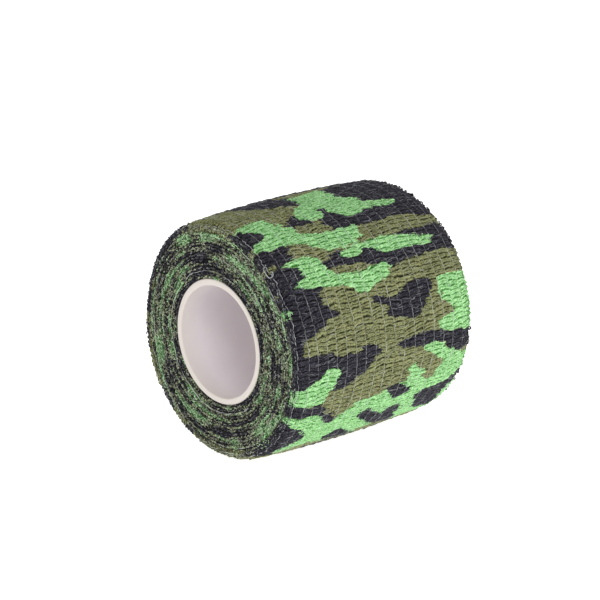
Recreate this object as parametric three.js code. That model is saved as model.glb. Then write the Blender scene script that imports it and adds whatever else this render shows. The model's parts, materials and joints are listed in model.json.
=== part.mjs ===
// A roll of camouflage cohesive elastic wrap on a plastic core, lying on its round side.
// Millimetres, +Z up. The roll's axis runs along Y, and its front end face is at -Y.
// The origin is on the surface it lies on, under the middle of the roll.
//
// Angles go round the roll axis: 0 degrees is +X, 90 is the top, 180 is -X, 270 is the contact flat.
// The strip is a laminate: two non-woven webs with elastic threads between them.
// Its last quarter turn is the free tail, in hinged segments that peel away from the roll.

import * as THREE from 'three';

// ---------------------------------------------------------------- driving dimensions

const TAPE_WIDTH = 50;          // width of the strip, along Y
const ROLL_RADIUS = 26;         // at mid-width, where the winding is fullest
const BARREL = 0.9;             // how much smaller the radius is where the shoulders begin
const FRONT_SHOULDER = 1.9;     // rounding of the front rim, along Y
const BACK_SHOULDER = 3.5;      // rounding of the back rim, along Y
const CONTACT_DEPTH = 0.45;     // how far the soft winding is pressed flat where it lies

const CORE_OUTER_RADIUS = 13.36;
const CORE_WALL = 1.41;
const CORE_CHAMFER = 0.25;
const CORE_RECESS = 0.05;       // the core's ends lie this far inside the strip's edges

const LAMINATE = 0.7;           // radial pitch of one turn
const WEB_THICKNESS = 0.16;
const THREAD_DEPTH = 0.33;      // from the laminate's outer face to a thread's centre
const THREAD_HALF_HEIGHT = 0.09;
const THREAD_HALF_WIDTH = 0.16;
const INNER_WEB_DEPTH = 0.5;
const LAYER_GAP = 0.04;         // clearance that keeps neighbouring layers apart

const THREAD_COUNT = 19;
const FIRST_THREAD_Y = -24.4;
const THREAD_PITCH = 2.35;      // spacing at the front edge
const THREAD_SPREAD = 0.0185;   // the spacing widens a little towards the back edge

const TAIL_START = 127.5;       // where the free tail leaves the roll
const TAIL_SEGMENTS = 4;
const TAIL_SEGMENT_ANGLE = 22.5;
const TAIL_THICKNESS = 0.6;
const TAIL_JOINT_GAP = 0.3;     // clearance between neighbouring tail segments
const STEP_FADE = 45;           // arc over which the step at the tail's end is taken up

const ANGLE_STEP = 7.5;

// ---------------------------------------------------------------- worked out from them

const HALF_WIDTH = TAPE_WIDTH / 2;
const AXIS_HEIGHT = ROLL_RADIUS - CONTACT_DEPTH;
const TAIL_END = TAIL_START + TAIL_SEGMENTS * TAIL_SEGMENT_ANGLE;
const EDGE_INSET = 0.1;         // the outer turn's edges lie this far inside the end faces

const toRadians = THREE.MathUtils.degToRad;

// ---------------------------------------------------------------- materials

const corePlastic = new THREE.MeshStandardMaterial({ color: 0xe9e2e0, roughness: 0.4, metalness: 0 });
const webPrint = new THREE.MeshStandardMaterial({ color: 0x6f7a4c, roughness: 0.95, metalness: 0 });
const windingFabric = new THREE.MeshStandardMaterial({ color: 0x4d5138, roughness: 0.95, metalness: 0 });
const elasticThread = new THREE.MeshStandardMaterial({ color: 0xd8dccb, roughness: 0.8, metalness: 0 });

// ---------------------------------------------------------------- the wound surface

// The radius lost at a rounded rim, t going from 0 at its start to 1 at the strip's edge.
function shoulderDrop(size, t) {
  const reach = 0.93;
  return size * (1 - Math.sqrt(1 - (reach * t) ** 2));
}

// Points [y, radius] of the outer surface from the front edge to the back edge.
function surfaceProfile() {
  const edge = HALF_WIDTH - EDGE_INSET;
  const frontStart = -edge + FRONT_SHOULDER;
  const backStart = edge - BACK_SHOULDER;
  const rimRadius = ROLL_RADIUS - BARREL;
  const crown = (y) => rimRadius + BARREL * (1 - (y / HALF_WIDTH) ** 2);
  const front = [1, 0.6].map((t) => [frontStart - t * FRONT_SHOULDER,
    crown(frontStart) - shoulderDrop(FRONT_SHOULDER, t)]);
  const middle = [frontStart, -HALF_WIDTH / 2, 0, HALF_WIDTH / 2, backStart].map((y) => [y, crown(y)]);
  const back = [0.6, 1].map((t) => [backStart + t * BACK_SHOULDER,
    crown(backStart) - shoulderDrop(BACK_SHOULDER, t)]);
  return [...front, ...middle, ...back];
}

const PROFILE = surfaceProfile();


// How far the last full turn lies below the crown: a whole turn under the tail,
// and less and less past the tail's end.
function stepDown(degrees) {
  if (degrees < TAIL_START || degrees > TAIL_END + STEP_FADE) return 0;
  if (degrees <= TAIL_END) return LAMINATE;
  return LAMINATE * (1 - (degrees - TAIL_END) / STEP_FADE);
}

// The last full turn's profile at an angle, pressed flat where the roll lies.
function turnProfile(degrees) {
  const down = -Math.sin(toRadians(degrees));
  const limit = down > 0 ? AXIS_HEIGHT / down : Infinity;
  return PROFILE.map(([y, r]) => [y, Math.min(r - stepDown(degrees), limit)]);
}

// The last full turn's outer radius at y, straight between the profile's points.
function turnRadius(degrees, y) {
  const profile = turnProfile(degrees);
  const last = profile.length - 1;
  let i = 0;
  while (i < last - 1 && y > profile[i + 1][0]) i += 1;
  const [y0, r0] = profile[i];
  const [y1, r1] = profile[i + 1];
  return r0 + ((r1 - r0) * (y - y0)) / (y1 - y0);
}

function pointAt(degrees, radius, y) {
  const a = toRadians(degrees);
  return [radius * Math.cos(a), y, AXIS_HEIGHT + radius * Math.sin(a)];
}

// ---------------------------------------------------------------- solids swept round the axis

// A closed solid from one ring of points per angle. Each ring has the same number of points and
// goes from -Y to +Y on the outside, then back on the inside. Both ways split their quads along
// the same diagonal, so that layers lying on each other have matching facets.
function sweptGeometry(rings, closed) {
  const count = rings[0].length;
  const positions = rings.flat(2);
  const index = [];
  const spans = closed ? rings.length : rings.length - 1;
  for (let i = 0; i < spans; i += 1) {
    const here = i * count;
    const next = ((i + 1) % rings.length) * count;
    for (let j = 0; j < count; j += 1) {
      const k = (j + 1) % count;
      const goesBack = rings[i][k][1] < rings[i][j][1];
      if (goesBack) {
        index.push(here + j, here + k, next + j);
        index.push(here + k, next + k, next + j);
      } else {
        index.push(here + j, here + k, next + k);
        index.push(here + j, next + k, next + j);
      }
    }
  }
  if (!closed) {
    const last = (rings.length - 1) * count;
    const half = count / 2;
    for (let j = 0; j < half - 1; j += 1) {
      const outer = j;
      const inner = count - 1 - j;
      index.push(outer, inner, inner - 1, outer, inner - 1, outer + 1);
      index.push(last + outer, last + inner - 1, last + inner);
      index.push(last + outer, last + outer + 1, last + inner - 1);
    }
  }
  const geometry = new THREE.BufferGeometry();
  geometry.setAttribute('position', new THREE.Float32BufferAttribute(positions, 3));
  geometry.setIndex(index);
  geometry.computeVertexNormals();
  return geometry;
}

// The angles of a full turn, with one more just before the tail, where the surface steps down.
function fullTurnAngles() {
  const angles = [];
  for (let a = 0; a < 360; a += ANGLE_STEP) {
    if (a === TAIL_START) angles.push(TAIL_START - 0.5);
    angles.push(a);
  }
  return angles;
}

// A section between two depths below the last full turn's surface, over the strip's whole width.
function bandSection(degrees, topDepth, bottomDepth) {
  const outside = turnProfile(degrees).map(([y, r]) => pointAt(degrees, r - topDepth, y));
  const inside = turnProfile(degrees).map(([y, r]) => pointAt(degrees, r - bottomDepth, y));
  return [...outside, ...inside.reverse()];
}

function makeBand(topDepth, thickness) {
  const rings = fullTurnAngles().map((a) => bandSection(a, topDepth, topDepth + thickness));
  return sweptGeometry(rings, true);
}

// ---------------------------------------------------------------- the pieces

function makeCore() {
  const end = HALF_WIDTH - CORE_RECESS;
  const inner = CORE_OUTER_RADIUS - CORE_WALL;
  const outline = [
    [inner, -end + CORE_CHAMFER],
    [inner + CORE_CHAMFER, -end],
    [CORE_OUTER_RADIUS - CORE_CHAMFER, -end],
    [CORE_OUTER_RADIUS, -end + CORE_CHAMFER],
    [CORE_OUTER_RADIUS, end - CORE_CHAMFER],
    [CORE_OUTER_RADIUS - CORE_CHAMFER, end],
    [inner + CORE_CHAMFER, end],
    [inner, end - CORE_CHAMFER],
    [inner, -end + CORE_CHAMFER],
  ].map(([r, y]) => new THREE.Vector2(r, y));
  return new THREE.LatheGeometry(outline, 360 / ANGLE_STEP);
}

// The turns under the last one, as one soft ring from the core to the laminate above.
function makeWoundTurns() {
  const bore = CORE_OUTER_RADIUS + 2 * LAYER_GAP;
  const rings = fullTurnAngles().map((a) => {
    const top = turnProfile(a).map(([y, r]) => [y, r - LAMINATE]);
    const outside = [
      [-HALF_WIDTH, top[0][1] - LAMINATE],
      ...top,
      [HALF_WIDTH, top[top.length - 1][1] - LAMINATE],
    ];
    const inside = [[HALF_WIDTH, bore], [-HALF_WIDTH, bore]];
    return [...outside, ...inside].map(([y, r]) => pointAt(a, r, y));
  });
  return sweptGeometry(rings, true);
}

function threadY(number) {
  return FIRST_THREAD_Y + THREAD_PITCH * number + THREAD_SPREAD * number ** 2;
}

// One elastic thread of the last full turn: a loop with a diamond section between the two webs.
function makeThread(y) {
  const corners = [
    [y - THREAD_HALF_WIDTH, 0],
    [y, THREAD_HALF_HEIGHT],
    [y + THREAD_HALF_WIDTH, 0],
    [y, -THREAD_HALF_HEIGHT],
  ];
  const rings = fullTurnAngles().map((a) => corners.map(([cy, rise]) =>
    pointAt(a, turnRadius(a, cy) - THREAD_DEPTH + rise, cy)));
  return sweptGeometry(rings, true);
}

// One curved segment of the free tail, lying on the turn below it.
function makeTailSegment(number) {
  const gap = THREE.MathUtils.radToDeg(TAIL_JOINT_GAP / 2 / ROLL_RADIUS);
  const start = TAIL_START + number * TAIL_SEGMENT_ANGLE;
  const end = start + TAIL_SEGMENT_ANGLE;
  const angles = [start + gap, start + ANGLE_STEP, end - ANGLE_STEP, end - gap];
  const rings = angles.map((a) => {
    const outside = PROFILE.map(([y, r]) => pointAt(a, r, y));
    const inside = PROFILE.map(([y, r]) => pointAt(a, r - TAIL_THICKNESS, y));
    return [...outside, ...inside.reverse()];
  });
  return sweptGeometry(rings, false);
}

// ---------------------------------------------------------------- assembly

const roll = new THREE.Group();

function addPiece(name, geometry, material) {
  const mesh = new THREE.Mesh(geometry, material);
  mesh.name = name;
  roll.add(mesh);
  return mesh;
}

addPiece('core_tube', makeCore(), corePlastic).position.z = AXIS_HEIGHT;
addPiece('wound_turns', makeWoundTurns(), windingFabric);
addPiece('inner_web', makeBand(INNER_WEB_DEPTH, WEB_THICKNESS), webPrint);
addPiece('outer_web', makeBand(0, WEB_THICKNESS), webPrint);

for (let n = 0; n < THREAD_COUNT; n += 1) {
  const label = String(n + 1).padStart(2, '0');
  addPiece(`elastic_thread_${label}`, makeThread(threadY(n)), elasticThread);
}

for (let n = 0; n < TAIL_SEGMENTS; n += 1) {
  addPiece(`tail_segment_${n + 1}`, makeTailSegment(n), webPrint);
}

export default roll;
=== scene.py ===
"""A roll of camouflage cohesive elastic wrap on a white plastic core, lying on its round side."""

import json
import math

import bpy
import numpy as np
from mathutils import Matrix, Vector


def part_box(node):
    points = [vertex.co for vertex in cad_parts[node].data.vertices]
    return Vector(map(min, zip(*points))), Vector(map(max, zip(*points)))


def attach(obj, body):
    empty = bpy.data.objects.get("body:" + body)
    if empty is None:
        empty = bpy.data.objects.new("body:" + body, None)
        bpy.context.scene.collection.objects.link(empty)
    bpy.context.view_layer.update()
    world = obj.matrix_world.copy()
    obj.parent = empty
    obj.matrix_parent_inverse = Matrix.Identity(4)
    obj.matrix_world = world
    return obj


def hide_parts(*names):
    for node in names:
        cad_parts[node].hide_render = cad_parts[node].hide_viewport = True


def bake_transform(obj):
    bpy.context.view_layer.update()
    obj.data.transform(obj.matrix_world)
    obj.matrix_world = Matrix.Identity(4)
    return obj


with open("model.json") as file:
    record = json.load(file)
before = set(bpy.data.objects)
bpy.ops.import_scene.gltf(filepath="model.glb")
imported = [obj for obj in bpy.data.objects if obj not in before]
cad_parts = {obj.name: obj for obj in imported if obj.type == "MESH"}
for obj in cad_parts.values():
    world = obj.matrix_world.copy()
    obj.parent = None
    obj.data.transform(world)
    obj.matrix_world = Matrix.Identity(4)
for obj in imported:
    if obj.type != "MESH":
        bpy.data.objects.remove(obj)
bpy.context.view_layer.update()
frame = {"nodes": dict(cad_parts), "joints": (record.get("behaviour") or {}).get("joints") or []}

# ---- sizes
# Lengths are millimetres until a mesh is made. Angles are degrees round the roll's axis: 0 is +X, 90 is
# the top, and they grow towards the free tail on the -X side. Side -1 is the front end (-Y), 1 the back.

MM = 0.001


def node_box(node):
    """Lowest and highest corner of a CAD node."""
    low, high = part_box(node)
    return np.array(low) / MM, np.array(high) / MM


def node_radii(node, centre_height):
    """Smallest and largest distance of a CAD node's corners from the roll's axis."""
    corners = np.array([v.co for v in frame["nodes"][node].data.vertices]) / MM
    radii = np.hypot(corners[:, 0], corners[:, 2] - centre_height)
    return radii.min(), radii.max()


CORE_LOW, CORE_HIGH = node_box("core_tube")
AXIS_HEIGHT = (CORE_LOW[2] + CORE_HIGH[2]) / 2
CORE_INNER, CORE_OUTER = node_radii("core_tube", AXIS_HEIGHT)
CORE_HALF_LENGTH = CORE_HIGH[1]
HALF_WIDTH = node_box("wound_turns")[1][1]
ROLL_RADIUS = node_radii("outer_web", AXIS_HEIGHT)[1]
THREAD_NAMES = [n for n in sorted(frame["nodes"]) if n.startswith("elastic_thread_")]
THREAD_Y = np.array([np.mean([b[1] for b in node_box(n)]) for n in THREAD_NAMES])

BARREL = 0.9  # how much fuller the winding is at mid-width
SHOULDERS = {-1: 1.9, 1: 4.1}  # how far in from each side it is rounded over
SHOULDER_ARC = 0.97  # the part of that rounding that the crown takes in
OUT_OF_ROUND = [(0.5, 232), (-0.7, 168)]  # a swell and a dent: height, degrees
SWELL_WIDTH = 21  # degrees
FIRM_WINDING = 2  # depth of winding round the core that stays round
SOFT_WINDING = 9  # depth over which the rest gives more and more
LAMINATE = 0.7  # radial pitch of one turn
TAIL_THICKNESS = 0.5
SIDE_RADIUS = ROLL_RADIUS - BARREL
STEP_FADE = 45.0  # degrees over which the step past the tail's end is taken up

JOINTS = {j["name"]: j for j in frame["joints"]}
TAIL_JOINTS = ["tail_peel", "tail_bend_1", "tail_bend_2", "tail_bend_3"]


def joint_angle(name):
    """Where a joint's axis lies round the roll, in degrees."""
    x, _, z = JOINTS[name]["pos_m"]
    return math.degrees(math.atan2(z / MM - AXIS_HEIGHT, x / MM)) % 360


HINGE_ANGLES = [joint_angle(name) for name in TAIL_JOINTS]
SEGMENT_ANGLE = HINGE_ANGLES[1] - HINGE_ANGLES[0]
TAIL_START = HINGE_ANGLES[0]
TAIL_END = HINGE_ANGLES[-1] + SEGMENT_ANGLE
STRIP_START = TAIL_START - 360  # the last full turn runs from here to TAIL_START, then the tail

# ---- repeatable noise
# A hash of whole numbers stands in for chance. Each use has its own seed.


def hash01(i, j, seed):
    """A number from 0 to 1 for each pair of whole numbers."""
    i = np.asarray(i).astype(np.int64).astype(np.uint64)
    j = np.asarray(j).astype(np.int64).astype(np.uint64)
    n = i * np.uint64(374761393) + j * np.uint64(668265263) + np.uint64(seed * 97463)
    n &= np.uint64(0xFFFFFFFF)
    n = ((n ^ (n >> np.uint64(13))) * np.uint64(1274126177)) & np.uint64(0xFFFFFFFF)
    n = ((n ^ (n >> np.uint64(15))) * np.uint64(2246822519)) & np.uint64(0xFFFFFFFF)
    return ((n ^ (n >> np.uint64(16))) & np.uint64(0xFFFF)).astype(float) / 65535


def noise(u, v, seed, wrap=None):
    """Smooth noise from 0 to 1 with features of size 1. It repeats in u after wrap of them."""
    iu, iv = np.floor(u).astype(np.int64), np.floor(v).astype(np.int64)
    fu, fv = u - iu, v - iv
    fu, fv = fu * fu * (3 - 2 * fu), fv * fv * (3 - 2 * fv)
    ju = iu + 1
    if wrap:
        iu, ju = iu % wrap, ju % wrap
    low = hash01(iu, iv, seed) * (1 - fu) + hash01(ju, iv, seed) * fu
    high = hash01(iu, iv + 1, seed) * (1 - fu) + hash01(ju, iv + 1, seed) * fu
    return low * (1 - fv) + high * fv


def signed_noise(u, v, seed, wrap=None):
    """Smooth noise from -1 to 1."""
    return 2 * noise(u, v, seed, wrap) - 1


# ---- the shape of the winding


def bell(x, width):
    """1 where x is 0, falling to nothing at about twice the width."""
    return np.exp(-((x / width) ** 2))


def crown_radius(y):
    """The radius at y before any step: a slight barrel with rounded shoulders."""
    radius = ROLL_RADIUS - BARREL * (np.clip(y, -HALF_WIDTH, HALF_WIDTH) / HALF_WIDTH) ** 2
    size = np.where(y < 0, SHOULDERS[-1], SHOULDERS[1])
    t = np.clip((np.abs(y) - (HALF_WIDTH - size)) / size, 0, SHOULDER_ARC)
    return radius - size * (1 - np.sqrt(1 - t * t))


def step_down(degrees):
    """How far the last full turn lies below the crown: by one turn under the tail, then less."""
    past = np.clip((degrees - TAIL_END + 360) / STEP_FADE, 0, 1)
    return LAMINATE * (1 - past * past * (3 - 2 * past))


def strip_place(degrees):
    """The place on the last full turn at an angle round the roll."""
    return (degrees - TAIL_START) % 360 + STRIP_START


def pressed(degrees, radius):
    """The radius of the soft winding: out of round, and flat where it rests."""
    swell = sum(size * bell(degrees % 360 - middle, SWELL_WIDTH) for size, middle in OUT_OF_ROUND)
    swell = swell * np.clip((radius - CORE_OUTER - FIRM_WINDING) / SOFT_WINDING, 0, 1)
    down = np.maximum(-np.sin(np.radians(degrees)), 1e-6)
    return np.minimum(radius + swell, AXIS_HEIGHT / down)


def around(degrees, radius, y):
    """Points (x, y, z) at an angle and radius."""
    a = np.radians(degrees)
    return np.stack([radius * np.cos(a), y + 0 * a, AXIS_HEIGHT + radius * np.sin(a)], axis=-1)


# ---- the crinkled web

MM_PER_DEGREE = math.radians(ROLL_RADIUS)
RIDGE_PITCH = 1.12
RIDGE_DEPTH = 0.40
HOLLOW_WIDTH = 0.13  # this and the next three are parts of a ridge's pitch
SECOND_HOLLOW_WIDTH = 0.10
CREST_WIDTH = 0.11
CREST_PLACE = 0.27  # from the middle of a hollow
SEAM_WIDTH = 0.24  # beside each thread, where the web is drawn down
FRAYED_WIDTH = 2.2  # along each edge, where the web is looser
FRONT_MARGIN, BACK_MARGIN = 0.9, 1.6  # the outermost columns would reach this far past the edges
COLUMN_EDGES = np.concatenate([[-HALF_WIDTH - FRONT_MARGIN], THREAD_Y, [HALF_WIDTH + BACK_MARGIN]])


def thread_wander(index, s):
    """How far thread number index strays sideways at arc length s."""
    slow = signed_noise(s / 4.1, np.full_like(s, index * 7.3), 11)
    kinks = signed_noise(s / (RIDGE_PITCH / 2), np.full_like(s, index * 3.1), 12)
    return 0.17 * slow + 0.13 * kinks


def ridge_count(y, s, column, u):
    """How many ridges along its column a place lies. The columns are out of step."""
    start = hash01(column, 0 * column, 104)
    drift = 0.6 * signed_noise(s / 5.2, column * 5.7, 101) + 0.25 * signed_noise(s / 1.9, column * 2.3, 102)
    slant = 0.55 * signed_noise(s / 2.7, column * 3.9, 103) * (u - 0.5)
    bow = 0.5 * (u - 0.5) ** 2
    ragged = 0.09 * signed_noise(y / 0.6, s / 0.8, 105)
    return s / RIDGE_PITCH + start + drift + slant + bow + ragged


def crinkle(y, degrees):
    """The web's height, its tone (0 in a hollow, with painted shade; 1 on a crest, with a painted
    highlight) and each ridge's own number.
    """
    s = degrees * MM_PER_DEGREE
    column = np.clip(np.searchsorted(COLUMN_EDGES, y) - 1, 0, len(COLUMN_EDGES) - 2)
    left, right = COLUMN_EDGES[column], COLUMN_EDGES[column + 1]
    u = np.clip((y - left) / (right - left), 0, 1)
    count = ridge_count(y, s, column, u)
    ridge = np.floor(count)
    t = count - ridge - 0.5
    own = hash01(column, ridge, 106)
    rim = np.clip((np.abs(y) - (HALF_WIDTH - FRAYED_WIDTH)) / FRAYED_WIDTH, 0, 1)
    lens = np.maximum(np.sin(np.pi * np.clip(u * 1.06 - 0.03, 0, 1)) ** 0.6, rim)
    hollow = bell(t, HOLLOW_WIDTH) * (0.60 + 0.52 * own) * (0.25 + 0.75 * lens)
    some_ridges = np.clip(hash01(ridge, column, 107) - 0.35, 0, 1)
    second = bell(np.abs(t) - 0.5, SECOND_HOLLOW_WIDTH) * some_ridges * lens
    crest = bell(np.abs(t) - CREST_PLACE, CREST_WIDTH)
    fluff = signed_noise(y / 0.62, s / 0.42, 108) + 0.9 * signed_noise(y / 0.33, s / 0.27, 109)
    puff = signed_noise(y / 2.2, s / 1.9, 110)
    seam = bell(u * (right - left), SEAM_WIDTH) + bell((1 - u) * (right - left), SEAM_WIDTH)
    height = 0.05 * puff + 0.07 * fluff * (1 + rim) + 0.05 * crest - 0.06 * seam
    height = height - RIDGE_DEPTH * ((1 + 0.7 * rim) * hollow + 0.6 * second)
    # Painted light: hollows, second hollows and seams are darkened as painted shade, and crests are
    # lightened as a painted highlight. The print also reaches less far into the hollows, and the fluff adds
    # random tone.
    tone_and_painted_light = 0.42 + 0.44 * crest + 0.17 * fluff - 0.90 * hollow - 0.70 * second - 0.10 * seam
    return height, np.clip(tone_and_painted_light, 0, 1), ridge + 977 * column


# ---- the printed pattern
# Outlines are (y, degrees round the roll) on an olive ground. Every other repeat of the print is turned
# round, and its green stops short of the edges.

GREEN_OUTLINES = [
    [(-8.6, 75), (-8, 80), (-6, 83.5), (-4, 86.5), (-3, 92.5), (-3.5, 96.5), (0, 97), (2.5, 99), (5.5, 100),
     (6, 95), (6, 85), (8.8, 80), (9.2, 76), (12.5, 74.5), (16.6, 73), (15, 69), (10, 69.5), (4.5, 67),
     (1.5, 68), (-0.3, 72.5), (-1, 76.5), (-2.2, 76.5), (-3, 72), (-5.6, 70.5), (-7.8, 71)],
    [(-23.6, 78.5), (-21, 81.5), (-17.5, 82), (-15.6, 80.5), (-14.7, 74), (-12.8, 69), (-12.2, 65),
     (-10, 62.5), (-4.5, 61), (-1.2, 63.7), (1, 63.5), (2, 59.5), (0.3, 53.5), (-3.8, 51.5), (-9.4, 52),
     (-11.6, 56.5), (-13.8, 59), (-17.5, 60), (-22, 60), (-23.8, 62.5), (-22.5, 67), (-20.3, 69),
     (-21.2, 74), (-23, 76)],
    [(-22, 50), (-15.6, 51.5), (-13, 50), (-11.6, 45.5), (-9.4, 40), (-6.2, 38), (-2.5, 38), (2.5, 39.5),
     (4, 37), (3, 34), (0, 30.5), (-3.8, 28), (-7, 29), (-9.4, 33.5), (-15, 35.5), (-20.6, 36.5),
     (-22.2, 38), (-19.4, 41), (-18, 44), (-19, 47)],
    [(-6.2, 49), (0.6, 51.5), (7.5, 51.7), (12, 50.5), (15, 48), (18, 47), (18, 43), (15, 42.5),
     (9.4, 43.5), (5, 43), (2, 46), (0.3, 48.5), (-1.2, 46), (-4.4, 45), (-6.2, 46)],
    [(15, 26), (18, 26.5), (22.5, 26), (26, 23), (26, -1), (22.5, -2), (18.8, -1), (15.6, 0.3), (13.8, 5),
     (15, 7), (18.8, 9.3), (16.6, 13), (15, 17.5), (14.7, 21.3)],
    [(-26, -9.4), (-21, -8), (-18.8, -5), (-17, -2), (-14.7, -2.3), (-13.8, -5.6), (-15.3, -10),
     (-16.2, -16), (-17, -19), (-21, -20), (-26, -18.4)],
    [(-26, -26), (-22, -26.6), (-18.8, -25), (-12.5, -33.4), (-11.6, -31), (-8.8, -26.6), (-5.6, -24.4),
     (-1.2, -23.6), (5, -21), (6.2, -20), (5.6, -14), (7, -12.4), (9.7, -7), (9, -4.5), (12.5, -3.4),
     (15, -5.6), (18, -10), (22, -14.6), (26, -17), (26, -25), (26, -50), (12, -56), (4, -50), (-4, -55),
     (-14, -52), (-26, -56)],
]

SPOT_OUTLINES = [  # green that lies over the black
    [(-26, 29.5), (-24.8, 30), (-24.1, 27.5), (-24.7, 25), (-26, 25)],
]

OLIVE_OUTLINES = [  # holes in the green
    [(9.7, -7), (12.5, -11), (15, -14), (16.2, -17.6), (14, -20), (14, -23.6), (11.2, -23), (10, -17),
     (7, -12.4)],
]

BLACK_OUTLINES = [
    [(-22, 117.5), (-22, 112), (-19, 108.5), (-16, 106), (-14.2, 96.4), (-12.5, 92.6), (-8.8, 89),
     (-6.2, 85.6), (-3.4, 89.6), (-3.4, 98), (-4.4, 105), (1, 105), (8, 104.5), (27, 103), (27, 117.5)],
    [(7, 98), (10, 102), (20, 104), (26, 103), (26, 60), (15, 61), (5, 61), (-3, 62.5), (-5, 69), (-3, 72),
     (-2.2, 76.5), (-1, 76.5), (-0.3, 72.5), (1.5, 68), (4.5, 67), (10, 69.5), (15, 69), (16.6, 73),
     (12.5, 74.5), (9.2, 76), (8.8, 80), (6, 85), (6, 95)],
    [(27, 104), (27, 60), (25.2, 62), (24, 68), (23, 78), (22.6, 90), (23.4, 104)],
    [(27, 54), (27, 45), (25, 46.5), (25, 52)],
    [(-12.8, 73), (-10.3, 77), (-8.6, 76), (-8, 70), (-10, 69), (-12.2, 70)],
    [(-26, 60), (-21, 59.3), (-17.5, 59), (-18.4, 56), (-17.8, 53), (-21, 51.4), (-26, 53)],
    [(-26, 78.4), (-23.4, 76), (-21.2, 74), (-20.3, 69.4), (-22.5, 67), (-26, 65)],
    [(-26, 49), (-22.5, 48.4), (-19, 47), (-18, 44), (-19.4, 41), (-22.2, 38.6), (-26, 39.4)],
    [(-11, 46), (-8.4, 49), (-6.2, 48.4), (-6, 45.4), (-3, 44), (-1, 45.4), (0.3, 48.7), (2, 46), (5, 43),
     (10, 43.4), (18, 42.4), (18.8, 47), (15, 49), (10.6, 50.6), (13.8, 51.8), (26, 51.3), (26, 38),
     (18.8, 38.6), (10, 38), (4.4, 36.6), (3.4, 39.3), (-6.2, 42.4), (-10.6, 44)],
    [(-4, 23.6), (-2, 25), (1.2, 23), (4.4, 23), (6.2, 26.6), (10.6, 27.3), (12.8, 26), (13, 22),
     (11.2, 18.3), (9.7, 14.6), (7.5, 10.5), (5, 11.6), (2.5, 13), (0, 14.6), (0.6, 20), (-2, 21)],
    [(-26, 36.3), (-15.3, 35), (-16.2, 32), (-15.3, 26), (-12.5, 21.3), (-15.6, 20), (-20, 15.3),
     (-22.2, 13), (-22.8, 8), (-26, 5)],
    [(-26, 5), (-20.6, 5.6), (-15.6, 5), (-14.7, 2), (-12.5, 2.6), (-8.8, 2), (-7, 5), (-4.7, 3),
     (-2, 0.3), (-4.7, -2.6), (-6.2, -7), (-9.7, -11), (-12.5, -14), (-15.3, -13), (-15.3, -10),
     (-13.8, -5.6), (-14.7, -2.3), (-17, -2), (-18.8, -5), (-21, -8), (-26, -9.4)],
    [(1.6, 1), (4.4, 2.6), (10, 3), (13.8, 1), (17, -2), (21.2, -2.3), (22.8, -4), (26, -5), (26, -12),
     (19.4, -11), (17.5, -7), (15, -4.5), (10, -3.8), (4.4, -2.6)],
    [(-26, -19), (-22.5, -20), (-21.2, -22), (-17.5, -21.4), (-15.6, -25), (-12.2, -32.6), (-12.5, -35),
     (-14.4, -33.4), (-17, -27.4), (-20, -26.3), (-26, -25)],
    [(1.2, -22), (3.8, -21.4), (7.5, -25), (7.8, -28), (5.6, -29.6), (2.5, -29)],
    [(-26, -32), (-22, -33.4), (-19.4, -38), (-18.4, -42.4), (-19.2, -48), (-21.8, -51), (-22.6, -58),
     (-26, -70)],
    [(-5.3, -36.4), (-3.4, -32.3), (0, -36.4), (2.5, -41), (3.4, -38), (6.2, -36.4), (7.8, -39.4),
     (7.5, -46), (10, -54), (3, -50), (-3, -41.6)],
    [(-9.7, -45.4), (-8.4, -44), (-5.6, -47.6), (0, -56.6), (-6.2, -55), (-11.2, -50.6)],
    [(10.6, -32.6), (15, -31), (20, -29.6), (22, -26), (26, -31), (21, -35.6), (20, -41.6),
     (21.2, -52), (15, -49), (12.5, -41.6), (11.2, -37)],
    [(-16, -62), (-8, -58), (2, -62), (12, -60), (16, -66), (6, -70), (-6, -67), (-14, -69)],
]

PRINT_CELL = 0.5  # between the points where distances to the outlines are worked out
PRINT_PERIOD = 190.0  # degrees
PRINT_START = -72.0
PRINT_MARGIN = 1  # worked out past each edge of the strip
CURVE_STEPS = 4  # points of a smooth curve for each point of its outline
STEP_TO_STEP = 1.3  # how far an ink's edge may jump from ridge to ridge
DARK_CORNER = -153  # degrees: by the front edge here, black reaches further
DARK_CORNER_REACH = 1.6
GREEN_STOPS = 3  # from the edges, where the print is turned round


def rounded(outline, closed=True):
    """A smooth curve through the outline's points."""
    p = np.array(outline, float)
    if closed:
        before, after, beyond = np.roll(p, 1, 0), np.roll(p, -1, 0), np.roll(p, -2, 0)
    else:
        ends = np.concatenate([2 * p[:1] - p[1:2], p, 2 * p[-1:] - p[-2:-1]])
        before, p, after, beyond = ends[:-3], ends[1:-2], ends[2:-1], ends[3:]
    pieces = []
    for t in np.arange(CURVE_STEPS) / CURVE_STEPS:
        pieces.append(0.5 * (2 * p + (after - before) * t + (2 * before - 5 * p + 4 * after - beyond) * t**2
                             + (3 * p - before - 3 * after + beyond) * t**3))
    return np.stack(pieces, axis=1).reshape(-1, p.shape[1])


def distance_outside(points, outline):
    """Distance from each point to the outline, negative inside it."""
    a, b = outline, np.roll(outline, -1, 0)
    nearest = np.full(len(points), 1e9)
    inside = np.zeros(len(points), bool)
    for (ax, ay), (bx, by) in zip(a, b):
        ex, ey = bx - ax, by - ay
        wx, wy = points[:, 0] - ax, points[:, 1] - ay
        t = np.clip((wx * ex + wy * ey) / (ex * ex + ey * ey + 1e-12), 0, 1)
        nearest = np.minimum(nearest, (wx - t * ex) ** 2 + (wy - t * ey) ** 2)
        crosses = (ay > points[:, 1]) != (by > points[:, 1])
        inside ^= crosses & (wx < ex * wy / (ey if abs(ey) > 1e-12 else 1e-12))
    return np.where(inside, -1, 1) * np.sqrt(nearest)


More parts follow.
